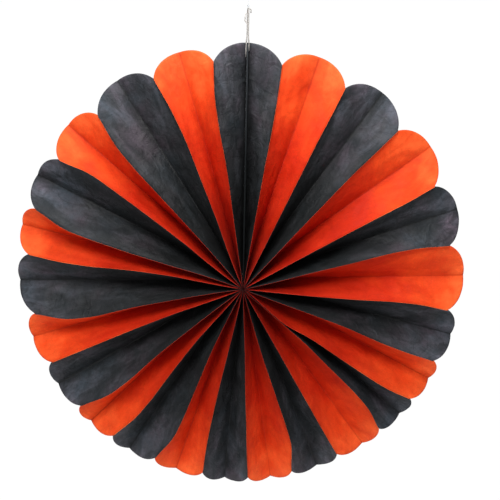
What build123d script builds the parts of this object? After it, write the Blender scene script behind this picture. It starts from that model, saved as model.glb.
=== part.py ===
from build123d import *
from math import asin, atan2, cos, degrees, hypot, radians, sin, sqrt, tan
import os

# Hanging rosette fan of folded tissue paper: petals round a hub, two end cards at the seam,
# a wire clip that pinches the cards, and the line the clip hangs from. Millimetres.
# +X is to the right seen from the front, +Y towards the back, +Z up.
# The origin is the top of the hanging loop's opening, where the fan is held.

# The opened fan
ridge_reach = 135.0        # hub axis to the outer end of each front ridge
lobe_height = 12.0         # how much further out each back fold ends
rim_setback = 34.0         # front of the hub to the outer ends of the back folds, along the hub axis
least_rim_depth = 8.4      # depth left at the rim in the widest V
end_sweep = 70.0           # degrees of ellipse in a leaf's rounded outer end
square_end = 0.5           # straight cut at the outer end of each ridge

# How wide each petal stands open, in degrees, clockwise from the seam at the top.
# The petals hang closer together at the bottom. The top petal is two halves, split by the seam.
right_half_span = 9.0
petal_spans = [
    17.5, 18, 18, 17, 18, 14.5, 12.5, 12.5, 14, 14, 12.5, 13,
    14.5, 13.5, 12.5, 14.5, 14.5, 16.5, 12.5, 14, 15.5, 17, 16,
]
left_half_span = 8.5

# Paper and glue
tissue = 0.25              # thickness of a leaf
glue_lap = 2.0             # width of the glued strip along a ridge
card_lap = 2.5             # width of the strip that holds a half petal to its card
crease = 0.4               # depth of the crease along a back fold
card = 0.45                # thickness of an end card
paper_play = 0.05          # least room between sheets where they crowd together
core_front = 9.0           # front end of the glued core, behind the front of the hub
core_back = 4.0            # how far the core stops short of the leaves' back edges
core_sides = 24            # flat sides of the core, where the leaves' inner ends meet it

# Wire clip
clip_wire = 0.7            # wire thickness
wire_sides = 8             # flat sides that stand in for the round wire
clip_length = 28.0
clip_width = 6.6
clip_grip = 8.0            # how far the clip reaches down over the cards
clip_setback = 24.0        # clip and line, behind the front of the hub
clip_play = 0.03           # room between the wire and each card
tongue_inset = 0.95        # inner tongue inside the outer loop, wire to wire
tongue_length = 19.5       # straight legs of the inner tongue
hook_radius = 0.65         # bend of the small hook that ends the tongue
hook_drop = 1.6            # straight end of that hook
tail_foot = 12.0           # where the outer leg starts to spring out, below the clip's top
tail_knee = 8.0            # where it is furthest out
tail_end = 4.0             # where it ends
tail_flare = 1.65          # how far out its knee is
tail_return = 0.75         # how far its end leans back in

# Hanging line
line_thickness = 0.35
line_sides = 6             # flat sides that stand in for the round line
line_length = 31.0
knot_size = 1.1            # across a knot
knot_sides = 8
knot_bevel = 0.25          # bevel of a knot's ends
tie_play = 0.04            # room between the clip's wire and the line tied round it
loop_height = 8.0
loop_width = 4.4

# Angles of the ridges and folds round the hub. The spans are scaled to close the circle.
whole_turn = 360.0
span_scale = whole_turn / (right_half_span + sum(petal_spans) + left_half_span)
right_half = right_half_span * span_scale
left_half = left_half_span * span_scale
ridges = [right_half]
for petal_span in petal_spans:
    ridges.append(ridges[-1] + petal_span * span_scale)
folds = [(before + after) / 2 for before, after in zip(ridges, ridges[1:])]
valley_reach = ridge_reach + lobe_height


def rim_chord(angle):
    """Distance from a ridge end to a fold end this many degrees away, seen along the hub axis."""
    product = 2 * ridge_reach * valley_reach * cos(radians(angle))
    return sqrt(ridge_reach**2 + valley_reach**2 - product)


# Every leaf is the same strip of paper, so a ridge between wide petals lies further back.
seams_and_folds = [0.0] + folds + [whole_turn]
ridge_gaps = [(after - before) / 2 for before, after in zip(seams_and_folds, seams_and_folds[1:])]
leaf_width = hypot(least_rim_depth, max(rim_chord(gap) for gap in ridge_gaps))
ridge_setbacks = [rim_setback - sqrt(leaf_width**2 - rim_chord(gap) ** 2) for gap in ridge_gaps]
card_setback = rim_setback - sqrt(leaf_width**2 - rim_chord(0) ** 2)

# How far the cards' rounded ends have fallen where the clip holds them
card_end_rise = lobe_height / (1 - cos(radians(end_sweep)))
card_end_depth = (rim_setback + crease - card_setback - square_end) / sin(radians(end_sweep))
card_fall = 1 - sqrt(1 - ((rim_setback + crease - clip_setback) / card_end_depth) ** 2)

# The sheets start far enough from the axis to lie clear of each other.
narrowest_half = min(after - before for before, after in zip(ridges, ridges[1:])) / 2
beside_seam = min(folds[0], whole_turn - folds[-1])
hub_radius = max(
    (tissue + paper_play) / sin(radians(narrowest_half)),
    (card + 2 * tissue + paper_play) / sin(radians(beside_seam)),
)
card_start = (card + tissue + paper_play) / tan(radians(min(right_half, left_half)))

# Heights, down from the top of the hanging loop's opening
wire_radius = clip_wire / 2
line_radius = line_thickness / 2
loop_low = line_radius - loop_height
line_top = loop_low - knot_size
line_bottom = line_top - line_length
clip_top = line_bottom - knot_size - line_thickness - tie_play
card_top = clip_top - clip_length + clip_grip
hub_height = card_top - valley_reach + card_end_rise * card_fall

hub_front = Vector(0, -clip_setback, hub_height)
hub_plane = Plane(origin=hub_front, x_dir=(1, 0, 0), z_dir=(0, 1, 0))
seam_plane = Plane(origin=hub_front, x_dir=(0, 0, 1), z_dir=(-1, 0, 0))
strip_length = valley_reach + leaf_width
facet_rows = 3

os.makedirs("parts", exist_ok=True)


def edge_plane(angle, start, reach, setback):
    """Plane of a leaf's long edge: x out along the edge, y clockwise, z towards the back."""
    turn = radians(angle)
    lean = atan2(setback - start, reach)
    outward = Vector(sin(turn) * cos(lean), sin(lean), cos(turn) * cos(lean))
    backward = Vector(-sin(turn) * sin(lean), cos(lean), -cos(turn) * sin(lean))
    return Plane(origin=hub_front + Vector(0, start, 0), x_dir=outward, z_dir=backward)


def rounded_end(corner, outward, across):
    """Outer end of a leaf or card, part of an ellipse that is level just behind the back fold.

    corner is the ridge's end. The fold's end lies this far outward and across from it.
    """
    rise = outward / (1 - cos(radians(end_sweep)))
    half_width = (across + crease - square_end) / sin(radians(end_sweep))
    centre = (corner[0] + outward - rise, corner[1] + across + crease)
    return EllipticalCenterArc(centre, rise, half_width, start_angle=-end_sweep, arc_size=end_sweep)


def leaf(ridge, fold, setback, beside_fold, back_strip):
    """One leaf of tissue from a ridge to a fold, with its glued lap in front and its strip behind.

    beside_fold is what lies between the leaf and the plane of the fold. The leaf twists from its
    ridge to its fold, so it is made of flat facets in a row from the hub out.
    """
    side = 1 if fold > ridge else -1
    ridge_plane = edge_plane(ridge, 0, ridge_reach, setback)
    fold_plane = edge_plane(fold, leaf_width, valley_reach, rim_setback)
    outside = -side * (beside_fold + tissue)
    row_length = (strip_length - hub_radius) / facet_rows
    stations = [hub_radius + row_length * step for step in range(facet_rows + 1)]
    front = [ridge_plane.from_local_coords(Vector(x, 0, glue_lap)) for x in stations]
    back = [fold_plane.from_local_coords(Vector(x, outside, tissue - back_strip)) for x in stations]
    facets = []
    for row in range(facet_rows):
        facets.append(Face(Wire.make_polygon([front[row], front[row + 1], back[row]])))
        facets.append(Face(Wire.make_polygon([front[row + 1], back[row + 1], back[row]])))
    facing = (back[-1] - front[0]).cross(front[-1] - back[0]) * side
    ridge_end = ridge_plane.from_local_coords(Vector(hypot(ridge_reach, setback), 0, 0))
    fold_end = fold_plane.from_local_coords(Vector(hypot(valley_reach, rim_setback - leaf_width), 0, 0))
    rim = fold_end - ridge_end
    leaf_plane = Plane(origin=ridge_end, x_dir=fold_plane.x_dir, z_dir=fold_plane.x_dir.cross(rim))
    outward = rim.dot(leaf_plane.x_dir)
    across = rim.dot(leaf_plane.y_dir)
    with BuildPart() as sheet:
        with BuildSketch(ridge_plane):
            with Locations((strip_length / 2, side * tissue / 2)):
                Rectangle(strip_length, tissue)
        extrude(amount=glue_lap)
        with BuildSketch(fold_plane):
            with Locations((strip_length / 2, outside + side * tissue / 2)):
                Rectangle(strip_length, tissue)
        extrude(amount=-back_strip)
        extrude(facets, amount=tissue, dir=facing)
        with BuildSketch(leaf_plane):
            with BuildLine():
                end = rounded_end((0, 0), outward, across)
                Polyline(
                    end @ 1,
                    (outward, strip_length),
                    (-strip_length, strip_length),
                    (-strip_length, -strip_length),
                    (0, -strip_length),
                    end @ 0,
                )
            make_face()
        extrude(amount=strip_length, both=True, mode=Mode.INTERSECT)
        with BuildSketch(hub_plane):
            RegularPolygon(hub_radius, core_sides)
        extrude(amount=strip_length, mode=Mode.SUBTRACT)
    return sheet.part


# Whole petals: one folded sheet each, two leaves joined by the crease at the back
for number, fold_angle in enumerate(folds, start=1):
    leaves = [
        leaf(ridges[number - 1], fold_angle, ridge_setbacks[number - 1], 0, crease),
        leaf(ridges[number], fold_angle, ridge_setbacks[number], 0, crease),
    ]
    with BuildPart() as petal:
        add(leaves)
    petal.part.label = f"petal_{number:02d}"
    export_step(petal.part, f"parts/petal_{number:02d}.step")

# Half petals: a single leaf each side of the seam, glued to the outside of its card
half_leaves = {
    "half_petal_right": leaf(ridges[0], 0, ridge_setbacks[0], card, card_lap),
    "half_petal_left": leaf(ridges[-1], whole_turn, ridge_setbacks[-1], card, card_lap),
}
for name, half_leaf in half_leaves.items():
    with BuildPart() as half_petal:
        add(half_leaf)
    half_petal.part.label = name
    export_step(half_petal.part, f"parts/{name}.step")

# End cards: flat, leaf-shaped, face to face in the plane of the seam
for name, thickness in (("end_card_left", card), ("end_card_right", -card)):
    with BuildPart() as end_card:
        with BuildSketch(seam_plane):
            with BuildLine():
                card_end = rounded_end(
                    (ridge_reach, card_setback), lobe_height, rim_setback - card_setback
                )
                back_slope = (rim_setback - leaf_width) / valley_reach
                Polyline(
                    card_end @ 1,
                    (card_start, leaf_width + back_slope * card_start),
                    (card_start, card_setback * card_start / ridge_reach),
                    (ridge_reach, card_setback),
                    card_end @ 0,
                )
            make_face()
        extrude(amount=thickness)
    end_card.part.label = name
    export_step(end_card.part, f"parts/{name}.step")

# Glued core that holds the inner ends of the leaves
with BuildPart() as hub_binding:
    with BuildSketch(hub_plane.offset(core_front)):
        RegularPolygon(hub_radius, core_sides)
    extrude(amount=leaf_width - core_front - core_back)
hub_binding.part.label = "hub_binding"
export_step(hub_binding.part, "parts/hub_binding.step")

# Wire clip: the outer loop passes left of the cards and the inner tongue right of them
beside_card = card + clip_play + wire_radius
outer_half = (clip_width - clip_wire) / 2
tongue_half = outer_half - tongue_inset
loop_middle = -tongue_inset / 2
front_leg = loop_middle - outer_half
back_leg = loop_middle + outer_half
tongue_front = loop_middle - tongue_half
tongue_back = loop_middle + tongue_half
wire_top = clip_top - wire_radius
outer_turn = clip_top - clip_length + wire_radius + outer_half
cross_radius = hypot(2 * beside_card, back_leg - tongue_front) / 2
cross_turn = wire_top - cross_radius
tongue_turn = cross_turn - tongue_length

with BuildPart() as wire_clip:
    with BuildLine() as wire_path:
        Polyline(
            (-beside_card - tail_flare + tail_return, front_leg, clip_top - tail_end),
            (-beside_card - tail_flare, front_leg, clip_top - tail_knee),
            (-beside_card, front_leg, clip_top - tail_foot),
            (-beside_card, front_leg, outer_turn),
        )
        ThreePointArc(
            (-beside_card, front_leg, outer_turn),
            (-beside_card, loop_middle, outer_turn - outer_half),
            (-beside_card, back_leg, outer_turn),
        )
        Line((-beside_card, back_leg, outer_turn), (-beside_card, back_leg, cross_turn))
        ThreePointArc(
            (-beside_card, back_leg, cross_turn),
            (0, 0, wire_top),
            (beside_card, tongue_front, cross_turn),
        )
        Line((beside_card, tongue_front, cross_turn), (beside_card, tongue_front, tongue_turn))
        ThreePointArc(
            (beside_card, tongue_front, tongue_turn),
            (beside_card, loop_middle, tongue_turn - tongue_half),
            (beside_card, tongue_back, tongue_turn),
        )
        Line(
            (beside_card, tongue_back, tongue_turn),
            (beside_card, tongue_back, wire_top - hook_radius),
        )
        ThreePointArc(
            (beside_card, tongue_back, wire_top - hook_radius),
            (beside_card + hook_radius, tongue_back, wire_top),
            (beside_card + 2 * hook_radius, tongue_back, wire_top - hook_radius),
        )
        Line(
            (beside_card + 2 * hook_radius, tongue_back, wire_top - hook_radius),
            (beside_card + 2 * hook_radius, tongue_back, wire_top - hook_radius - hook_drop),
        )
    with BuildSketch(Plane(origin=wire_path.line @ 0, z_dir=wire_path.line % 0)):
        RegularPolygon(wire_radius, wire_sides)
    sweep(path=wire_path.wires()[0], transition=Transition.RIGHT)
wire_clip.part.label = "wire_clip"
export_step(wire_clip.part, "parts/wire_clip.step")

# Hanging line: straight, because the fan's weight holds it taut
with BuildPart() as hanging_line:
    with BuildSketch(Plane.XY.offset(line_bottom)):
        RegularPolygon(line_radius, line_sides)
    extrude(amount=line_length)
hanging_line.part.label = "hanging_line"
export_step(hanging_line.part, "parts/hanging_line.step")

# Tie: the line's lower end round the top of the clip's wire, with its knot
wire_run = Vector(beside_card * 2, tongue_front - back_leg, 0)
tie_plane = Plane(origin=(0, 0, wire_top), x_dir=(0, 0, 1), z_dir=wire_run.cross(Vector(0, 0, 1)))
tie_radius = wire_radius + tie_play + line_radius
knot_height = knot_size + line_radius
with BuildPart() as line_tie:
    with BuildSketch(Plane.XY.offset(line_bottom)):
        RegularPolygon(knot_size / 2, knot_sides)
    extrude(amount=-knot_height)
    chamfer(line_tie.faces().filter_by(Axis.Z).edges(), length=knot_bevel)
    with BuildSketch(tie_plane):
        with Locations((-tie_radius, 0)):
            RegularPolygon(line_radius, line_sides)
    revolve(axis=Axis(tie_plane.origin, wire_run))
line_tie.part.label = "line_tie"
export_step(line_tie.part, "parts/line_tie.step")

# Hanging loop: the line's upper end, tied back on itself
bend_radius = loop_width / 2
bend_height = line_radius - bend_radius
side_lean = asin(bend_radius / (bend_height - loop_low))
side_length = sqrt((bend_height - loop_low) ** 2 - bend_radius**2)
side_down = Vector(-sin(side_lean), 0, -cos(side_lean))
side_top = Vector(0, 0, loop_low) - side_down * side_length
with BuildPart() as hanging_loop:
    with BuildSketch(Plane.XY.offset(line_top)):
        RegularPolygon(knot_size / 2, knot_sides)
    extrude(amount=knot_height)
    chamfer(hanging_loop.faces().filter_by(Axis.Z).edges(), length=knot_bevel)
    with BuildSketch(Plane(origin=side_top, z_dir=side_down)) as side_section:
        RegularPolygon(line_radius, line_sides)
    extrude(amount=side_length)
    mirror(about=Plane.YZ)
    revolve(
        side_section.sketch,
        axis=Axis((0, 0, bend_height), (0, -1, 0)),
        revolution_arc=whole_turn / 2 + 2 * degrees(side_lean),
    )
hanging_loop.part.label = "hanging_loop"
export_step(hanging_loop.part, "parts/hanging_loop.step")
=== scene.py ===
import math
from collections import namedtuple

import bpy
from mathutils import Matrix, Vector, noise


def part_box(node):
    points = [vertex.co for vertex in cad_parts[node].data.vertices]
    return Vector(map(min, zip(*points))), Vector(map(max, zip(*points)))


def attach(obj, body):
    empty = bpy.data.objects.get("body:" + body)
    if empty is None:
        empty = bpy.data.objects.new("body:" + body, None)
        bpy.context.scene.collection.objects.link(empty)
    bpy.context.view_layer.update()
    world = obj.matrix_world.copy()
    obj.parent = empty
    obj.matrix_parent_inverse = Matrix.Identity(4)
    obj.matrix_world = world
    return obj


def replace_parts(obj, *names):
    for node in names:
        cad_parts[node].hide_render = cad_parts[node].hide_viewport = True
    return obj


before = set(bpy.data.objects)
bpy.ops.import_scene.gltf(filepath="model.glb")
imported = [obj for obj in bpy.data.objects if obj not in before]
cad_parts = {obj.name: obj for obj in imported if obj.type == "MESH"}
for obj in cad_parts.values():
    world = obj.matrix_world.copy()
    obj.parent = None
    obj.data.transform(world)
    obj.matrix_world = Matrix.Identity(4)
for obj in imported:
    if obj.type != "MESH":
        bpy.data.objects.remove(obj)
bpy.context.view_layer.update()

# Hanging tissue fan rosette. Metres, in the frame of the model: +X right, +Y back, +Z up,
# origin at the top of the hanging loop.
MM = 0.001

# Driving dimensions, the same as the solids', apart from a sharper bend at the foot of the
# clip's tail
RIDGE_REACH = 135 * MM
LOBE_HEIGHT = 12 * MM
VALLEY_REACH = RIDGE_REACH + LOBE_HEIGHT
RIM_SETBACK = 34 * MM
LEAST_RIM_DEPTH = 8.4 * MM
END_SWEEP = math.radians(70)
SQUARE_END = 0.5 * MM
RIGHT_HALF_SPAN = 9.0
PETAL_SPANS = [
    17.5, 18, 18, 17, 18, 14.5, 12.5, 12.5, 14, 14, 12.5, 13,
    14.5, 13.5, 12.5, 14.5, 14.5, 16.5, 12.5, 14, 15.5, 17, 16,
]
LEFT_HALF_SPAN = 8.5
GLUE_LAP = 2 * MM
CARD_LAP = 2.5 * MM
CREASE = 0.4 * MM
CARD = 0.45 * MM
CORE_FRONT = 9 * MM
CLIP_WIRE = 0.7 * MM
CLIP_LENGTH = 28 * MM
CLIP_WIDTH = 6.6 * MM
CLIP_GRIP = 8 * MM
TONGUE_INSET = 0.95 * MM
TONGUE_LENGTH = 19.5 * MM
HOOK_RADIUS = 0.65 * MM
HOOK_DROP = 1.6 * MM
TAIL_FOOT = 9.6 * MM
TAIL_KNEE = 8 * MM
TAIL_END = 4 * MM
TAIL_FLARE = 1.65 * MM
TAIL_RETURN = 0.75 * MM
LINE_THICKNESS = 0.35 * MM
LINE_LENGTH = 31 * MM
LOOP_HEIGHT = 8 * MM
LOOP_WIDTH = 4.4 * MM

# How far each ridge bends clockwise, in degrees, at these shares of its reach. It doesn't bend
# at the hub and the rim. The two empty entries are the pinched ridges.
BEND_SHARES = (0, 0.3, 0.5, 0.7, 0.85, 1)
RIDGE_BENDS = [
    (0.2, 0.2, 0.5, 0.4), (-0.1, -0.1, -0.2, 0), (-1, -0.8, -0.7, -0.2), (0, 0.1, 0.2, 0.4),
    (-1.8, -1.7, -2, -1.4), (-0.3, -0.7, -1.3, -1.1), (-0.5, -0.4, 0.6, 0.5), (), (),
    (0, 0.1, 0.1, 0.1), (-1, -2, -2.5, -2.5), (-0.3, 0.2, 0.1, 0.2), (0.9, 1.2, 1, 0.7),
    (-0.6, -2, -2.7, -2.6), (0.6, -0.7, -1.8, -1.7), (-1.4, -1.8, -3, -2.7), (1.6, 1.1, 0.5, 0.2),
    (-2.2, -2.7, -3.9, -3.2), (1.5, 0.5, -0.8, -0.8), (-3.1, -3.6, -3.3, -2.8), (3.2, 3, 2.6, 2.3),
    (-1.3, -1.9, -2.3, -1.9), (2.5, 2.2, 2.1, 1.3), (-0.3, -0.2, -1.1, -1.1),
]
# One black petal at the lower right is pinched shut near the hub: its ridges' shares and bends
PINCHED_RIDGES = {
    7: [(0, 0), (0.03, 0), (0.08, 5.6), (0.15, 6.6), (0.26, 7), (0.32, 4.4), (0.4, 2.6), (0.5, 2.3),
        (0.7, 1.9), (0.8, 1.7), (0.9, 1.2), (1, 0)],
    8: [(0, 0), (0.03, 0), (0.08, -4.3), (0.15, -4.5), (0.26, -4.6), (0.38, -4.9), (0.46, -4.2),
        (0.6, -3.5), (0.7, -3.3), (0.8, -2.9), (0.9, -2.1), (1, 0)],
}

# Angles of the ridges and folds round the hub, clockwise from the seam at the top
span_scale = 360 / (RIGHT_HALF_SPAN + sum(PETAL_SPANS) + LEFT_HALF_SPAN)
ridges = [RIGHT_HALF_SPAN * span_scale]
for span in PETAL_SPANS:
    ridges.append(ridges[-1] + span * span_scale)
folds = [0.0] + [(a + b) / 2 for a, b in zip(ridges, ridges[1:])] + [360.0]


def rim_chord(degrees):
    """The distance between a ridge's end and a fold's, seen from the front."""
    product = 2 * RIDGE_REACH * VALLEY_REACH * math.cos(math.radians(degrees))
    return math.sqrt(RIDGE_REACH**2 + VALLEY_REACH**2 - product)


# All leaves are equally wide, so a ridge's setback follows from the gap between its folds
ridge_gaps = [(b - a) / 2 for a, b in zip(folds, folds[1:])]
leaf_width = math.hypot(LEAST_RIM_DEPTH, max(rim_chord(gap) for gap in ridge_gaps))
setbacks = [RIM_SETBACK - math.sqrt(leaf_width**2 - rim_chord(gap) ** 2) for gap in ridge_gaps]


def corners(node):
    """The low and the high corner of a solid's box."""
    return [Vector(corner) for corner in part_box(node)]


core_low, core_high = corners("hub_binding")
hub_front = Vector((0, core_low.y - CORE_FRONT, (core_low.z + core_high.z) / 2))
hub_radius = (core_high.z - core_low.z) / 2


def add_object(name, data):
    made = bpy.data.objects.new(name, data)
    bpy.context.scene.collection.objects.link(made)
    return made


def add_mesh(name, vertices, faces, material):
    """An object with a smooth mesh of one material."""
    mesh = bpy.data.meshes.new(name)
    mesh.from_pydata(vertices, [], faces)
    mesh.materials.append(material)
    for polygon in mesh.polygons:
        polygon.use_smooth = True
    mesh.update()
    return add_object(name, mesh)


# Camera: fitted to the ridge and fold ends of the photograph
LOOK_DOWN = math.radians(10.33)
LOOK_ASIDE = math.radians(1.06)
ROLL = math.radians(1.24)
DISTANCE = 322.5 * MM
FOCAL_PIXELS = 536
PHOTO_SIDE = 500
SENSOR_WIDTH = 36
HUB_RIGHT = -4.21 * MM
HUB_UP = -23.77 * MM


def make_camera():
    data = bpy.data.cameras.new("camera")
    data.sensor_width = SENSOR_WIDTH
    data.lens = FOCAL_PIXELS / PHOTO_SIDE * SENSOR_WIDTH
    camera = add_object("camera", data)
    forward = Vector((
        math.sin(LOOK_ASIDE) * math.cos(LOOK_DOWN),
        math.cos(LOOK_ASIDE) * math.cos(LOOK_DOWN),
        -math.sin(LOOK_DOWN),
    ))
    level_right = Vector((math.cos(LOOK_ASIDE), -math.sin(LOOK_ASIDE), 0))
    level_up = level_right.cross(forward)
    right = level_right * math.cos(ROLL) + level_up * math.sin(ROLL)
    up = level_up * math.cos(ROLL) - level_right * math.sin(ROLL)
    place = hub_front - right * HUB_RIGHT - up * HUB_UP - forward * DISTANCE
    camera.matrix_world = Matrix((
        (right.x, up.x, -forward.x, place.x),
        (right.y, up.y, -forward.y, place.y),
        (right.z, up.z, -forward.z, place.z),
        (0, 0, 0, 1),
    ))
    bpy.context.scene.camera = camera


make_camera()

# The colour sockets of a Mix node, which has one set of sockets for each kind of data
MIX_FIRST = 6
MIX_SECOND = 7
MIX_RESULT = 2


def grey(value):
    return (value, value, value)


WHITE = grey(1.0)


def paler(colour, share):
    """The colour moved this share of the way to white."""
    return [share + (1 - share) * value for value in colour]


class Shader:
    """A node tree being put together for one material."""

    def __init__(self, name):
        self.material = bpy.data.materials.new(name)
        self.material.use_nodes = True
        self.tree = self.material.node_tree
        self.tree.nodes.clear()
        self.output = self.add("ShaderNodeOutputMaterial")

    def add(self, kind, inputs=None, **settings):
        """A node with these settings and these links or values in its sockets."""
        node = self.tree.nodes.new(kind)
        for key, value in settings.items():
            setattr(node, key, value)
        for socket, given in (inputs or {}).items():
            self.feed(node.inputs[socket], given)
        return node

    def feed(self, socket, given):
        if isinstance(given, bpy.types.NodeSocket):
            self.tree.links.new(given, socket)
        else:
            socket.default_value = given

    def coordinates(self):
        return self.add("ShaderNodeTexCoord").outputs["Object"]

    def axes(self):
        return self.add("ShaderNodeSeparateXYZ", {0: self.coordinates()}).outputs

    def attribute(self, name):
        return self.add("ShaderNodeAttribute", attribute_name=name).outputs["Fac"]

    def compute(self, operation, *values):
        node = self.add("ShaderNodeMath", dict(enumerate(values)), operation=operation)
        return node.outputs[0]

    def noise(self, scale, detail=3, roughness=0.5, vector=None, distortion=0.0):
        if vector is None:
            vector = self.coordinates()
        node = self.add("ShaderNodeTexNoise", {
            "Vector": vector, "Scale": scale, "Detail": detail, "Roughness": roughness,
            "Distortion": distortion,
        })
        return node.outputs["Fac"]

    def ramp(self, factor, *stops):
        node = self.add("ShaderNodeValToRGB", {0: factor})
        elements = node.color_ramp.elements
        while len(elements) < len(stops):
            elements.new(0.5)
        for element, (position, colour) in zip(elements, stops):
            element.position = position
            element.color = (*colour, 1)
        return node.outputs["Color"]

    def tint(self, colour, factor, *stops):
        """The colour multiplied by a ramp of this factor."""
        node = self.add(
            "ShaderNodeMix",
            {"Factor": 1.0, MIX_FIRST: colour, MIX_SECOND: self.ramp(factor, *stops)},
            data_type="RGBA", blend_type="MULTIPLY",
        )
        return node.outputs[MIX_RESULT]

    def bump(self, height, strength, distance, after=None):
        inputs = {"Height": height, "Strength": strength, "Distance": distance}
        if after is not None:
            inputs["Normal"] = after
        return self.add("ShaderNodeBump", inputs).outputs["Normal"]

    def mix(self, share, first, second):
        return self.add("ShaderNodeMixShader", {0: share, 1: first, 2: second}).outputs[0]

    def principled(self, inputs):
        return self.add("ShaderNodeBsdfPrincipled", inputs).outputs[0]

    def finish(self, shader):
        self.tree.links.new(shader, self.output.inputs["Surface"])
        return self.material


# The scale of the tissue's streaks, round the hub and along the petals
STREAKS_ROUND = 13.0
STREAKS_ALONG = 5.0


def outward_streaks(s, along):
    """Noise drawn out into streaks that run from the hub to the rim."""
    axes = s.axes()
    turn = s.compute("ARCTAN2", axes["X"], s.compute("SUBTRACT", hub_front.z, axes["Z"]))
    outward = s.add("ShaderNodeCombineXYZ", {
        "X": s.compute("MULTIPLY", turn, STREAKS_ROUND),
        "Y": s.compute("MULTIPLY", along, STREAKS_ALONG),
    })
    return s.noise(1, detail=4, roughness=0.6, vector=outward.outputs[0], distortion=0.6)


def tissue(name, stops, patches, streaked, fold_shade, edge, speckle, crumple, through, sheen):
    """Tissue paper: mottled dye, fine fibres, soft wrinkles, creases and glued laps.

    stops colour the paper from the hub to the rim, darker towards the hub by painted shade.
    patches tint it in blotches, streaked in streaks that run out from the hub, and fold_shade is
    painted shade along the fold, in the dented bands and beside the end cards. edge sets a painted
    highlight along the ridges, speckle is the strength of the grain and crumple that of the wrinkles.
    through is the share of light that the paper lets through, and sheen its gloss.
    """
    s = Shader(name)
    along = s.attribute("along")
    from_ridge = s.attribute("from_ridge")
    from_fold = s.attribute("from_fold")
    mottle = s.noise(60)
    clouds = s.noise(38, detail=4, roughness=0.6)
    grain = s.noise(420, detail=4, roughness=0.65)
    fibres = s.noise(1500, roughness=0.6)
    wrinkles = s.noise(150, detail=4, roughness=0.55, distortion=0.8)
    creases = s.compute("SUBTRACT", s.noise(45, detail=2, distortion=1.2), 0.5)

    # Dyed blotches and streaks, with painted shade that darkens the paper towards the hub
    dye_and_painted_shade = s.compute("MULTIPLY_ADD", s.compute("SUBTRACT", mottle, 0.5), 0.45, along)
    # A painted highlight along the ridges, where they catch the light, fading near the hub
    glow = s.compute("MAXIMUM", s.compute("MULTIPLY_ADD", from_ridge, -0.25, edge), 0.0)
    out_of_hub = s.compute("MINIMUM", s.compute("MULTIPLY", along, 9.0), 1.0)
    glow = s.compute("MULTIPLY", glow, out_of_hub)
    colour = s.ramp(s.compute("ADD", dye_and_painted_shade, glow), *stops)
    colour = s.tint(colour, clouds, *patches)
    colour = s.tint(colour, outward_streaks(s, along), *streaked)

    # Thin creases, grain and fibres
    colour = s.tint(colour, s.compute("ABSOLUTE", creases), (0.0, grey(1 - speckle)), (0.02, WHITE))
    colour = s.tint(colour, grain, (0.3, grey(1 - speckle)), (0.7, grey(1 + speckle / 2)))
    colour = s.tint(colour, fibres, (0.3, grey(0.92)), (0.7, grey(1.04)))

    # Painted shade round the fold and along its sharp line, the lap's edge, painted shade in the dented
    # bands and beside the end cards, and painted shade at the hub
    cloudy = s.compute("SUBTRACT", clouds, 0.5)
    beside_fold = s.compute("MULTIPLY_ADD", cloudy, 0.35, s.compute("MULTIPLY", from_fold, 0.1))
    half_shade = paler(fold_shade, 0.35)
    colour = s.tint(colour, beside_fold, (0.0, fold_shade), (0.1, half_shade), (0.6, WHITE))
    colour = s.tint(colour, from_fold, (0.0, fold_shade), (0.9, WHITE))
    lap_edge = s.compute("ABSOLUTE", s.compute("SUBTRACT", from_ridge, GLUE_LAP / MM))
    colour = s.tint(colour, lap_edge, (0.0, grey(0.78)), (0.4, WHITE))
    colour = s.tint(colour, s.attribute("dent_and_seam_shade"), (0.0, WHITE), (1.0, paler(fold_shade, 0.4)))
    # Painted shade where the ridges meet at the hub
    colour = s.tint(colour, along, (0.0, grey(0.1)), (0.03, WHITE))

    normal = s.bump(wrinkles, crumple, 1.2 * MM)
    normal = s.bump(grain, 0.35, 0.3 * MM, after=normal)
    normal = s.bump(fibres, 0.3, 0.1 * MM, after=normal)
    surface = s.principled({
        "Base Color": colour, "Roughness": s.ramp(mottle, (0.3, grey(0.6)), (0.7, grey(0.85))),
        "Specular IOR Level": sheen, "Normal": normal,
    })
    back = s.add("ShaderNodeBsdfTranslucent", {"Color": colour, "Normal": normal})
    return s.finish(s.mix(through, surface, back.outputs[0]))


tissues = {
    "orange_tissue": tissue(
        "orange_tissue",
        stops=(
            (0.0, (0.36, 0.006, 0.001)), (0.3, (0.6, 0.02, 0.002)), (0.6, (0.72, 0.038, 0.006)),
            (0.85, (0.88, 0.095, 0.014)), (1.0, (1.0, 0.19, 0.042)),
        ),
        patches=((0.35, (0.97, 0.86, 0.8)), (0.6, WHITE)),
        streaked=((0.38, (0.9, 0.76, 0.7)), (0.5, (0.98, 0.94, 0.92)), (0.62, (1.04, 1.16, 1.24))),
        fold_shade=(0.85, 0.66, 0.55),
        edge=0.3, speckle=0.06, crumple=0.4, through=0.4, sheen=0.2,
    ),
    "black_tissue": tissue(
        "black_tissue",
        stops=(
            (0.0, (0.003, 0.004, 0.004)), (0.35, (0.008, 0.009, 0.0095)),
            (0.65, (0.018, 0.0195, 0.022)), (0.9, (0.032, 0.035, 0.041)),
            (1.0, (0.056, 0.061, 0.072)),
        ),
        patches=((0.36, (1.2, 0.9, 0.98)), (0.5, (1.0, 0.98, 1.0)), (0.64, (0.66, 0.8, 0.84))),
        streaked=((0.4, (0.46, 0.5, 0.52)), (0.5, (0.9, 0.88, 0.9)), (0.6, (1.65, 1.55, 1.6))),
        fold_shade=(0.32, 0.35, 0.36),
        edge=0.0, speckle=0.3, crumple=1.0, through=0.1, sheen=0.35,
    ),
}


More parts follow.
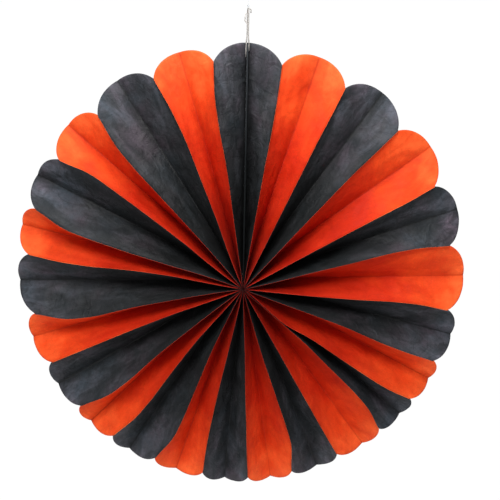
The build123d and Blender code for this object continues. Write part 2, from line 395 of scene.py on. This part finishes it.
def card_material():
    """Stiff dark card, darker towards the hub."""
    s = Shader("end_card")
    fibres = s.noise(700, detail=4, roughness=0.6)
    height = s.axes()["Z"]
    out = s.compute("MULTIPLY_ADD", height, 1 / VALLEY_REACH, -hub_front.z / VALLEY_REACH)
    colour = s.ramp(
        out, (0.05, (0.001, 0.0013, 0.0013)), (0.5, (0.005, 0.006, 0.0065)),
        (0.95, (0.022, 0.024, 0.027)),
    )
    colour = s.tint(colour, fibres, (0.3, grey(0.8)), (0.7, grey(1.15)))
    return s.finish(s.principled({
        "Base Color": colour, "Roughness": 0.9, "Specular IOR Level": 0.08,
        "Normal": s.bump(fibres, 0.3, 0.1 * MM),
    }))


def wire_material():
    """Dull steel wire with marks drawn out along it."""
    s = Shader("clip_wire")
    mapping = s.add("ShaderNodeMapping", {"Vector": s.coordinates(), "Scale": (1, 1, 0.1)})
    drawn = s.noise(1500, detail=2, vector=mapping.outputs["Vector"])
    return s.finish(s.principled({
        "Base Color": s.ramp(drawn, (0.3, (0.32, 0.3, 0.28)), (0.7, (0.42, 0.4, 0.38))),
        "Metallic": 0.35, "Roughness": s.ramp(drawn, (0.3, grey(0.45)), (0.7, grey(0.6))),
        "Normal": s.bump(drawn, 0.1, 0.03 * MM),
    }))


def glue_material():
    """Dried glue and paper edges, dark brown."""
    s = Shader("glue")
    lumps = s.noise(800)
    return s.finish(s.principled({
        "Base Color": s.ramp(lumps, (0.3, (0.02, 0.012, 0.01)), (0.7, (0.05, 0.03, 0.025))),
        "Roughness": 0.5, "Normal": s.bump(lumps, 0.5, 0.3 * MM),
    }))


def line_material():
    """Clear nylon line."""
    s = Shader("line")
    haze = s.noise(2000, detail=2)
    return s.finish(s.principled({
        "Base Color": s.ramp(haze, (0.3, (0.86, 0.88, 0.9)), (0.7, (0.95, 0.96, 0.97))),
        "Roughness": 0.2, "Transmission Weight": 0.9, "IOR": 1.15,
        "Normal": s.bump(haze, 0.1, 0.02 * MM),
    }))


line_finish = line_material()

UP = Vector((0, 0, 1))
DOWN = Vector((0, 0, -1))


def half_turn(start, end, towards, steps=18):
    """Points on the half circle from start to end that bulges up or down, without its ends."""
    centre = (start + end) / 2
    reach = start - centre
    rise = towards * reach.length
    turns = [math.pi * step / steps for step in range(1, steps)]
    return [centre + reach * math.cos(turn) + rise * math.sin(turn) for turn in turns]


def bent(before, corner, after, size, steps=6):
    """Points round a corner, from size before it to size after it."""
    start = corner + (before - corner).normalized() * size
    end = corner + (after - corner).normalized() * size
    shares = [step / steps for step in range(steps + 1)]
    return [start * (1 - t) ** 2 + corner * 2 * t * (1 - t) + end * t**2 for t in shares]


def tube(name, path, radius, material, sides=14):
    """A round closed tube along these points."""
    count = len(path)
    vertices = []
    across = None
    for number, point in enumerate(path):
        along = (path[min(number + 1, count - 1)] - path[max(number - 1, 0)]).normalized()
        if across is None:
            across = along.orthogonal().normalized()
        across = (across - along * across.dot(along)).normalized()
        other = along.cross(across)
        for side in range(sides):
            turn = 2 * math.pi * side / sides
            vertices.append(point + (across * math.cos(turn) + other * math.sin(turn)) * radius)
    faces = []
    for ring in range(count - 1):
        for side in range(sides):
            following = (side + 1) % sides
            faces.append((
                ring * sides + side, ring * sides + following,
                (ring + 1) * sides + following, (ring + 1) * sides + side,
            ))
    faces.append(tuple(range(sides))[::-1])
    faces.append(tuple((count - 1) * sides + side for side in range(sides)))
    piece = add_mesh(name, vertices, faces, material)
    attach(piece, "root")
    return piece


# The clip's wire: one path, whose legs are close together at the top and part just above the
# cards, the later the higher the power is
CARD_CLEARANCE = 0.03 * MM
TOP_HALF_GAP = 0.38 * MM
SPREAD_POWER = 8
TAIL_BEND = 1 * MM
clip_top = corners("wire_clip")[1].z
wire_radius = CLIP_WIRE / 2
grip_half_gap = CARD + wire_radius + CARD_CLEARANCE
wire_top = clip_top - wire_radius
outer_half = (CLIP_WIDTH - CLIP_WIRE) / 2
tongue_half = outer_half - TONGUE_INSET
loop_middle = -TONGUE_INSET / 2
front_leg = loop_middle - outer_half
back_leg = loop_middle + outer_half
tongue_front = loop_middle - tongue_half
tongue_back = loop_middle + tongue_half


def leg_point(side, depth, height):
    """A point on a clip leg. The legs stand closer together above the cards."""
    share = min(max((clip_top - height) / (CLIP_LENGTH - CLIP_GRIP), 0), 1)
    half_gap = TOP_HALF_GAP + (grip_half_gap - TOP_HALF_GAP) * share**SPREAD_POWER
    return Vector((side * half_gap, depth, height))


def leg_run(side, depth, start, end, steps=10):
    """Points down or up a clip leg between these heights."""
    heights = [start + (end - start) * step / steps for step in range(steps + 1)]
    return [leg_point(side, depth, height) for height in heights]


def make_clip():
    grip_top = clip_top - CLIP_LENGTH + CLIP_GRIP
    outer_turn = clip_top - CLIP_LENGTH + wire_radius + outer_half
    cross_turn = wire_top - (back_leg - tongue_front) / 2
    tongue_turn = cross_turn - TONGUE_LENGTH
    hook_turn = wire_top - HOOK_RADIUS
    knee = leg_point(-1, front_leg, clip_top - TAIL_KNEE) - Vector((TAIL_FLARE, 0, 0))
    end = leg_point(-1, front_leg, clip_top - TAIL_END) - Vector((TAIL_FLARE - TAIL_RETURN, 0, 0))
    foot = leg_point(-1, front_leg, clip_top - TAIL_FOOT)
    below = leg_point(-1, front_leg, clip_top - TAIL_FOOT - 2 * TAIL_BEND)
    path = [end] + bent(end, knee, foot, TAIL_BEND) + bent(knee, foot, below, TAIL_BEND)
    path += leg_run(-1, front_leg, below.z, grip_top)
    turn_in, turn_out = leg_point(-1, front_leg, outer_turn), leg_point(-1, back_leg, outer_turn)
    path += [turn_in] + half_turn(turn_in, turn_out, DOWN) + [turn_out]
    path += leg_run(-1, back_leg, grip_top, cross_turn)
    path += half_turn(path[-1], leg_point(1, tongue_front, cross_turn), UP)
    path += leg_run(1, tongue_front, cross_turn, grip_top)
    turn_in, turn_out = leg_point(1, tongue_front, tongue_turn), leg_point(1, tongue_back, tongue_turn)
    path += [turn_in] + half_turn(turn_in, turn_out, DOWN) + [turn_out]
    path += leg_run(1, tongue_back, grip_top, hook_turn)
    hook_in, hook_out = path[-1], path[-1] + Vector((2 * HOOK_RADIUS, 0, 0))
    path += half_turn(hook_in, hook_out, UP) + [hook_out, hook_out + DOWN * HOOK_DROP]
    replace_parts(tube("clip_wire", path, wire_radius, wire_material()), "wire_clip")


# The line: its tie round the clip's top, one straight run held taut, and its loop
TIE_CLEARANCE = 0.02 * MM
COIL_TURNS = 3
LINE_SIDES = 10
tie_top = corners("line_tie")[1].z
loop_foot = corners("hanging_loop")[0].z
line_radius = LINE_THICKNESS / 2
coil_radius = 2 * line_radius
LINE_ROUTE = [(0, 0, tie_top), (0, 0, tie_top + LINE_LENGTH)]


def coil(start, end, steps=16):
    """Points of a coil round the line, from one height to another."""
    low, high = min(start, end), max(start, end)
    count = COIL_TURNS * steps
    points = []
    for step in range(count + 1):
        share = step / count if start < end else 1 - step / count
        turn = 2 * math.pi * COIL_TURNS * share
        height = low + (high - low) * share
        points.append(Vector((math.cos(turn) * coil_radius, math.sin(turn) * coil_radius, height)))
    return points


def make_tie():
    """The line's lower end: round the clip's wire and back up round itself."""
    run = Vector((2 * TOP_HALF_GAP, tongue_front - back_leg, 0)).normalized()
    ring = wire_radius + line_radius + TIE_CLEARANCE
    side = run.cross(UP)
    top = wire_top + ring
    path = [UP * tie_top, UP * (top + 0.5 * line_radius)]
    steps = 24
    gap = 2
    for step in range(gap, steps - gap + 1):
        turn = 2 * math.pi * step / steps
        path.append(UP * (wire_top + ring * math.cos(turn)) + side * (ring * math.sin(turn)))
    path += coil(top + 1.5 * line_radius, tie_top - line_radius)
    piece = tube("line_tie_knot", path, line_radius, line_finish, LINE_SIDES)
    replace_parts(piece, "line_tie")
    return piece


def make_loop():
    """The line's upper end: an open loop, coiled back down round the line."""
    bend_radius = LOOP_WIDTH / 2
    bend_height = line_radius - bend_radius
    foot = line_radius - LOOP_HEIGHT
    lean = math.asin(bend_radius / (bend_height - foot))
    path = [UP * loop_foot, UP * (foot - line_radius)]
    steps = 24
    for step in range(steps + 1):
        turn = -lean + (math.pi + 2 * lean) * step / steps
        path.append(Vector((math.cos(turn) * bend_radius, 0, bend_height + math.sin(turn) * bend_radius)))
    path += coil(foot - line_radius, loop_foot + line_radius)
    piece = tube("line_loop", path, line_radius, line_finish, LINE_SIDES)
    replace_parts(piece, "hanging_loop")
    return piece


def make_line():
    curve = bpy.data.curves.new("line_cord", "CURVE")
    curve.dimensions = "3D"
    spline = curve.splines.new("NURBS")
    spline.points.add(len(LINE_ROUTE) - 1)
    for point, place in zip(spline.points, LINE_ROUTE):
        point.co = (*place, 1)
    spline.order_u = 3
    spline.use_endpoint_u = True
    curve.bevel_depth = line_radius
    curve.bevel_resolution = 6
    curve.use_fill_caps = True
    curve.materials.append(line_finish)
    piece = add_object("line_cord", curve)
    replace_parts(piece, "hanging_line")
    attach(piece, "root")
    make_tie()
    make_loop()


make_line()
make_clip()


def ring_point(degrees, radius, depth):
    """A point this far round, out and back from the front of the hub."""
    turn = math.radians(degrees)
    return hub_front + Vector((math.sin(turn) * radius, depth, math.cos(turn) * radius))


def sideways(degrees):
    """The direction clockwise round the hub at this angle."""
    turn = math.radians(degrees)
    return Vector((math.cos(turn), 0, -math.sin(turn)))


def ridge_bend(number, share):
    """How far a ridge has moved clockwise, in degrees, at this share of its reach.

    It is the mean of a few near places, so that the ridge has no corners.
    """
    places = PINCHED_RIDGES.get(number) or list(zip(BEND_SHARES, (0, *RIDGE_BENDS[number], 0)))

    def straight(share):
        if share <= 0:
            return 0
        for (start, low), (end, high) in zip(places, places[1:]):
            if share <= end:
                return low + (high - low) * (share - start) / (end - start)
        return 0

    shifts = (-0.04, -0.02, 0, 0.02, 0.04)
    return sum(straight(share + shift) for shift in shifts) / len(shifts)


# The sheets of tissue: their thickness, their grid, and how far they stand off the cards and
# each other
SHEET = 0.12 * MM
ROWS = 110
LEAF_COLUMNS = 20
LAP_COLUMNS = 2
STRIP_COLUMNS = 2
LAP_ASIDE = 0.49 * SHEET
CARD_ASIDE = CARD + 0.6 * SHEET

# Where the leaves end inside: the gap round the axis, and the shares of the core's depth in
# front where they start to draw back from it, and over which they do
AXIS_GAP = 0.5 * MM
TAPER_START = 0.55
TAPER_LENGTH = 0.35

# A point of a leaf, its distances from the hub, the ridge and the fold, and its room for relief
Spot = namedtuple("Spot", "point radius from_ridge from_fold room")


def inner_end(depth):
    """Where a leaf starts: near the axis in front of the glued core, at the core's side behind."""
    behind = min(max((depth / CORE_FRONT - TAPER_START) / TAPER_LENGTH, 0), 1)
    return AXIS_GAP + (hub_radius - AXIS_GAP) * behind


class Leaf:
    """One leaf between a ridge and a fold, with its glued lap, and its strip on an end card.

    A place on it is a zone (lap, leaf or strip), a share of the way across it and a radius.
    """

    def __init__(self, ridge_number, fold_number, at_card=False):
        self.ridge_number = ridge_number
        self.at_card = at_card
        self.ridge = ridges[ridge_number]
        self.fold = folds[fold_number]
        self.setback = setbacks[ridge_number]
        self.side = 1 if self.fold > self.ridge else -1
        lean = math.atan2(RIM_SETBACK - leaf_width, VALLEY_REACH)
        turn = math.radians(self.fold)
        self.outward_axis = Vector((
            math.sin(turn) * math.cos(lean), math.sin(lean), math.cos(turn) * math.cos(lean),
        ))
        self.ridge_end = ring_point(self.ridge, RIDGE_REACH, self.setback)
        rim = ring_point(self.fold, VALLEY_REACH, RIM_SETBACK) - self.ridge_end
        self.outward = rim.dot(self.outward_axis)
        self.across_axis = (rim - self.outward_axis * self.outward).normalized()
        self.across = rim.dot(self.across_axis)
        self.end_rise = self.outward / (1 - math.cos(END_SWEEP))
        self.end_half_width = (self.across + CREASE - SQUARE_END) / math.sin(END_SWEEP)

    def point(self, zone, share, radius, bend=0):
        lap = GLUE_LAP * (share if zone == "lap" else 1)
        angle = self.ridge + bend
        aside = self.side * LAP_ASIDE * min(radius / hub_radius, 1)
        front = ring_point(angle, radius, self.setback * radius / RIDGE_REACH + lap)
        front += sideways(angle) * aside
        if zone == "lap":
            return front
        depth = leaf_width + (RIM_SETBACK - leaf_width) * radius / VALLEY_REACH
        if self.at_card:
            depth -= CARD_LAP * (1 - share if zone == "strip" else 1)
        back = ring_point(self.fold, radius, depth)
        if self.at_card:
            back -= sideways(self.fold) * (self.side * CARD_ASIDE)
        return back if zone == "strip" else front.lerp(back, share)

    def beyond_rim(self, point):
        """Whether the leaf's rounded end cuts this point off."""
        reach = (point - self.ridge_end).dot(self.outward_axis)
        height = (point - self.ridge_end).dot(self.across_axis)
        if height <= SQUARE_END:
            return reach > 0
        fall = max(self.across + CREASE - height, 0) / self.end_half_width
        return reach > self.outward - self.end_rise * (1 - math.sqrt(1 - min(fall, 1) ** 2))

    def outer_end(self, zone, share):
        """The radius at which the rim cuts this column, found by halving."""
        low = RIDGE_REACH * 0.9
        high = VALLEY_REACH * 1.1
        for _ in range(30):
            middle = (low + high) / 2
            if self.beyond_rim(self.point(zone, share, middle)):
                high = middle
            else:
                low = middle
        return (low + high) / 2

    def spot(self, zone, share, radius):
        bend = ridge_bend(self.ridge_number, radius / RIDGE_REACH)
        width = (self.point("leaf", 1, radius, bend) - self.point("leaf", 0, radius, bend)).length
        return Spot(
            point=self.point(zone, share, radius, bend),
            radius=radius,
            from_ridge=GLUE_LAP * share if zone == "lap" else GLUE_LAP + width * share,
            from_fold=0 if zone == "strip" else width * (1 - share),
            room=4 * share * (1 - share) * radius / VALLEY_REACH if zone == "leaf" else 0,
        )

    def columns(self):
        """Columns of spots from the ridge to the fold, each from the hub out."""
        stations = [("lap", step / LAP_COLUMNS) for step in range(LAP_COLUMNS)]
        stations += [("leaf", step / LEAF_COLUMNS) for step in range(LEAF_COLUMNS + 1)]
        if self.at_card:
            stations += [("strip", (step + 1) / STRIP_COLUMNS) for step in range(STRIP_COLUMNS)]
        columns = []
        for zone, share in stations:
            outer = self.outer_end(zone, share)
            depth = self.point(zone, share, 0).y - hub_front.y
            inner = hub_radius if self.at_card else inner_end(depth)
            radii = [inner + (outer - inner) * row / ROWS for row in range(ROWS + 1)]
            columns.append([self.spot(zone, share, radius) for radius in radii])
        return columns


# The paper's relief: its height where there is most room, the share and size of each kind, and
# how much stronger the fine kinds are at the hub than at the rim
RELIEF = 0.9 * MM
BELLY = 0.8
WAVES = 0.9
WAVE_SIZE = 30 * MM
WRINKLES = 0.8
WRINKLE_SIZE = 11 * MM
CRINKLES = 0.35
CRINKLE_SIZE = 7 * MM
FINE_AT_HUB = 1.25
FINE_LOSS = 0.85
LAYER_SEEDS = 40

# Dents across some petals, at shares of the reach, drawn only as painted shade. Their width and wandering
# are shares too.
CROSS_DENTS = {
    1: [0.58, 0.4], 2: [0.5], 3: [0.44], 4: [0.62, 0.38], 5: [0.55], 7: [0.66], 9: [0.6], 12: [0.7],
    14: [0.55], 16: [0.62], 18: [0.68, 0.5], 19: [0.58], 20: [0.47], 21: [0.64], 22: [0.7, 0.52],
    23: [0.68, 0.58, 0.45],
}
DENT_WIDTH = 0.011
DENT_WANDER = 0.03
DENT_WANDER_SIZE = 14 * MM
DENT_FADE_SIZE = 12 * MM
SEAM_SHADE_WIDTH = 3 * MM


def smooth_noise(point, size, seed, layer):
    """Noise from about -1 to 1, another for each seed and layer."""
    shift = seed + layer * LAYER_SEEDS
    return noise.noise(point / size + Vector((shift * 3.7, shift * 1.3, shift * 2.9)))


def relief(spot, seed):
    """How far the paper stands off its smooth shape here: belly, broad waves and wrinkles."""
    belly = BELLY * noise.noise(Vector((seed * 5.3, 0.4, 0.7)))
    waves = WAVES * smooth_noise(spot.point, WAVE_SIZE, seed, 0)
    wrinkles = WRINKLES * smooth_noise(spot.point, WRINKLE_SIZE, seed, 1)
    crinkles = CRINKLES * (1 - 4 * abs(smooth_noise(spot.point, CRINKLE_SIZE, seed, 2)))
    fine = (wrinkles + crinkles) * (FINE_AT_HUB - FINE_LOSS * spot.radius / VALLEY_REACH)
    return RELIEF * spot.room * (belly + waves + fine)


def dent_shade(spot, seed):
    """How much painted shade darkens a dented band across the petal here, from 0 to 1."""
    wander = DENT_WANDER * smooth_noise(spot.point, DENT_WANDER_SIZE, seed, 3)
    fade = 0.5 + 0.9 * smooth_noise(spot.point, DENT_FADE_SIZE, seed, 4)
    depth = 0
    for centre in CROSS_DENTS.get(seed, []):
        offset = (spot.radius / VALLEY_REACH + wander - centre) / DENT_WIDTH
        depth += math.exp(-(offset**2)) * min(max(fade, 0), 1)
    return min(depth, 1)


def seam_shade(spot):
    """How much painted shade darkens the tissue beside the end cards, from 0 to 1."""
    return math.exp(-((spot.from_fold / SEAM_SHADE_WIDTH) ** 2))


def grid_normals(points):
    """The direction across the sheet at each point of its grid."""
    normals = []
    for c, column in enumerate(points):
        before, after = points[max(c - 1, 0)], points[min(c + 1, len(points) - 1)]
        normals.append([
            (after[r] - before[r]).cross(column[min(r + 1, ROWS)] - column[max(r - 1, 0)]).normalized()
            for r in range(ROWS + 1)
        ])
    return normals


def sheet_faces(count):
    """The faces of a closed sheet of this many columns: its two sides, then its edges."""
    size = count * (ROWS + 1)

    def index(side, c, r):
        return side * size + c * (ROWS + 1) + r

    faces = []
    for c in range(count - 1):
        for r in range(ROWS):
            faces.append((index(0, c, r), index(0, c + 1, r), index(0, c + 1, r + 1), index(0, c, r + 1)))
            faces.append((index(1, c, r), index(1, c, r + 1), index(1, c + 1, r + 1), index(1, c + 1, r)))
    for r in range(ROWS):
        for c, turned in ((0, False), (count - 1, True)):
            face = (index(0, c, r), index(0, c, r + 1), index(1, c, r + 1), index(1, c, r))
            faces.append(face[::-1] if turned else face)
    for c in range(count - 1):
        for r, turned in ((0, True), (ROWS, False)):
            face = (index(0, c, r), index(0, c + 1, r), index(1, c + 1, r), index(1, c, r))
            faces.append(face[::-1] if turned else face)
    return faces


def measure(mesh, name, values):
    """Keep a number for each spot, the same on both sides of the sheet."""
    layer = mesh.attributes.new(name, "FLOAT", "POINT")
    layer.data.foreach_set("value", values * 2)


def make_sheet(name, columns, slot, seed, at_card=False):
    """A thin closed sheet through these columns, with its paper's relief."""
    normals = grid_normals([[spot.point for spot in column] for column in columns])
    middle = [
        [spot.point + normal * relief(spot, seed) for spot, normal in zip(column, across)]
        for column, across in zip(columns, normals)
    ]
    spots = [spot for column in columns for spot in column]
    points = [point for column in middle for point in column]
    normals = [normal for column in grid_normals(middle) for normal in column]
    vertices = []
    for side in (0.5, -0.5):
        for spot, point, normal in zip(spots, points, normals):
            thickness = SHEET * min(spot.radius / hub_radius, 1)
            vertices.append(point + normal * thickness * side)
    piece = add_mesh(name, vertices, sheet_faces(len(columns)), tissues[slot])
    measure(piece.data, "along", [spot.radius / VALLEY_REACH for spot in spots])
    measure(piece.data, "from_ridge", [spot.from_ridge / MM for spot in spots])
    measure(piece.data, "from_fold", [spot.from_fold / MM for spot in spots])
    # Painted shade in the dented bands, and beside the end cards
    painted_shades = [max(dent_shade(spot, seed), seam_shade(spot) if at_card else 0) for spot in spots]
    measure(piece.data, "dent_and_seam_shade", painted_shades)
    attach(piece, "root")
    return piece


for number in range(1, len(PETAL_SPANS) + 1):
    slot = "orange_tissue" if number % 2 == 1 else "black_tissue"
    columns = Leaf(number - 1, number).columns() + Leaf(number, number).columns()[::-1][1:]
    piece = make_sheet(f"tissue_petal_{number:02d}", columns, slot, seed=number)
    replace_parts(piece, f"petal_{number:02d}")

half_right = Leaf(0, 0, at_card=True).columns()[::-1]
half_left = Leaf(len(ridges) - 1, len(folds) - 1, at_card=True).columns()
for name, columns, seed in (("half_petal_right", half_right, 31), ("half_petal_left", half_left, 32)):
    piece = make_sheet(f"tissue_{name}", columns, "black_tissue", seed, at_card=True)
    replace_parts(piece, name)


def finish_solid(name, material):
    """Give a solid that the scene keeps as it is its material."""
    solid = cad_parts[name]
    solid.data.materials.clear()
    solid.data.materials.append(material)


card_finish = card_material()
finish_solid("end_card_left", card_finish)
finish_solid("end_card_right", card_finish)
finish_solid("hub_binding", glue_material())

# A pale floor below the fan that curves up into a wall behind it, in metres
FLOOR_DROP = 0.25
FLOOR_FRONT = -1.2
WALL_BACK = 0.9
WALL_HEIGHT = 3.0
CORNER_RADIUS = 0.4
CORNER_STEPS = 12
STAGE_HALF_WIDTH = 2.5


def stage_material():
    """Near-white paint that glows, so that the ground stays as even as the photo's."""
    s = Shader("stage")
    grain = s.noise(4, detail=2)
    diffuse = s.add("ShaderNodeBsdfDiffuse", {
        "Color": s.ramp(grain, (0.3, grey(0.9)), (0.7, grey(0.93))),
    })
    glow = s.add("ShaderNodeEmission", {"Color": (1, 1, 1, 1), "Strength": 1.03})
    return s.finish(s.mix(0.96, diffuse.outputs[0], glow.outputs[0]))


def make_stage():
    floor = hub_front.z - VALLEY_REACH - FLOOR_DROP
    corner = WALL_BACK - CORNER_RADIUS
    profile = [(FLOOR_FRONT, floor), (corner, floor)]
    for step in range(1, CORNER_STEPS + 1):
        turn = math.radians(90 * step / CORNER_STEPS)
        back, up = CORNER_RADIUS * math.sin(turn), CORNER_RADIUS * (1 - math.cos(turn))
        profile.append((corner + back, floor + up))
    profile.append((WALL_BACK, floor + WALL_HEIGHT))
    vertices = [(x, y, z) for x in (-STAGE_HALF_WIDTH, STAGE_HALF_WIDTH) for y, z in profile]
    count = len(profile)
    faces = [(i, i + 1, count + i + 1, count + i) for i in range(count - 1)]
    add_mesh("backdrop", vertices, faces, stage_material())


make_stage()


def area_light(name, place, size, power):
    """A soft square light that shines on the hub."""
    data = bpy.data.lights.new(name, "AREA")
    data.shape = "SQUARE"
    data.size = size
    data.energy = power
    lamp = add_object(name, data)
    lamp.location = place
    lamp.rotation_euler = (hub_front - Vector(place)).to_track_quat("-Z", "Y").to_euler()


area_light("key_light", place=(-0.05, -0.5, 0.3), size=0.3, power=5.8)
area_light("top_light", place=(0.05, -0.16, 0.5), size=0.25, power=3.2)
area_light("fill_light", place=(-0.5, -1.0, 0.0), size=0.8, power=2)

world = bpy.data.worlds.new("studio")
world.use_nodes = True
background = world.node_tree.nodes["Background"]
background.inputs["Color"].default_value = (1, 1, 1, 1)
background.inputs["Strength"].default_value = 0.15
bpy.context.scene.world = world
bpy.context.scene.view_settings.view_transform = "Standard"
